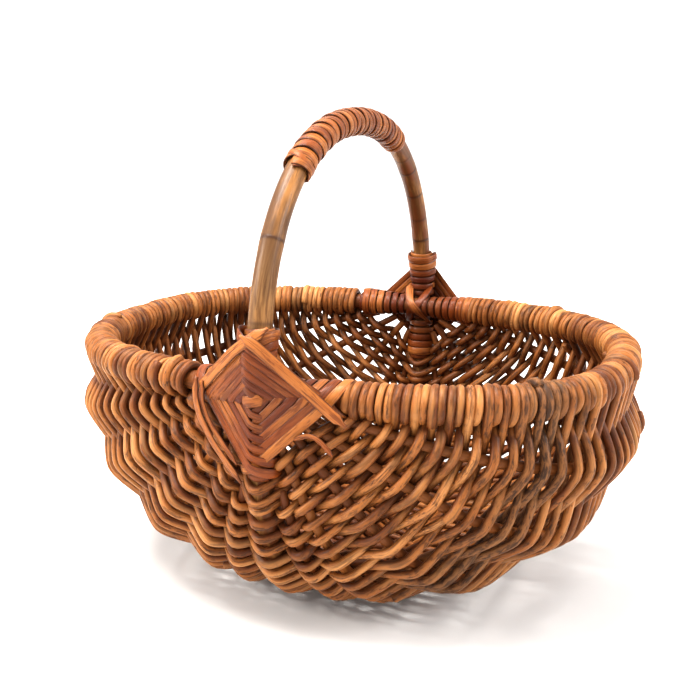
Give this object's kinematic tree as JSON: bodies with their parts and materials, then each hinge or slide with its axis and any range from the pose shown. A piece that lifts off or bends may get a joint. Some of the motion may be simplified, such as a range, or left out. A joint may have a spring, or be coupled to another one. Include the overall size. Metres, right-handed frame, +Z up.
{
  "type": "egg collection basket",
  "caption": "Oval woven rod basket with a rigid arched handle, for collecting and carrying eggs by hand.",
  "frame": {"origin": "middle of the base, on the surface the basket stands on", "axes": "+Z up, X along the basket's length, Y across it along the handle"},
  "size_m": [0.3834, 0.3042, 0.3091],
  "materials": {
    "woven_rods": "satin honey-brown whole rods, bark streaks",
    "frame_rods": "satin brown rods",
    "handle_cane": "smooth satin cane, olive-tan with grain streaks",
    "split_peel": "glossy orange-brown flat peel"
  },
  "bodies": {
    "root": {"far_handle_collar": "split_peel", "far_keel_binding": "split_peel", "far_lashing": "split_peel", "far_left_rim_binding": "split_peel", "far_right_rim_binding": "split_peel", "handle_grip": "split_peel", "handle_hoop": "handle_cane", "left_rib_1": "frame_rods", "left_rib_2": "frame_rods", "left_rib_3": "frame_rods", "left_rib_4": "frame_rods", "left_rib_5": "frame_rods", "near_handle_collar": "split_peel", "near_keel_binding": "split_peel", "near_lashing": "split_peel", "near_left_rim_binding": "split_peel", "near_right_rim_binding": "split_peel", "right_rib_1": "frame_rods", "right_rib_2": "frame_rods", "right_rib_3": "frame_rods", "right_rib_4": "frame_rods", "right_rib_5": "frame_rods", "rim_hoop": "frame_rods", "woven_band_1": "woven_rods", "woven_band_2": "woven_rods", "woven_band_3": "woven_rods", "woven_band_4": "woven_rods", "woven_band_5": "woven_rods", "woven_band_6": "woven_rods", "woven_band_7": "woven_rods"}
  },
  "joints": []
}
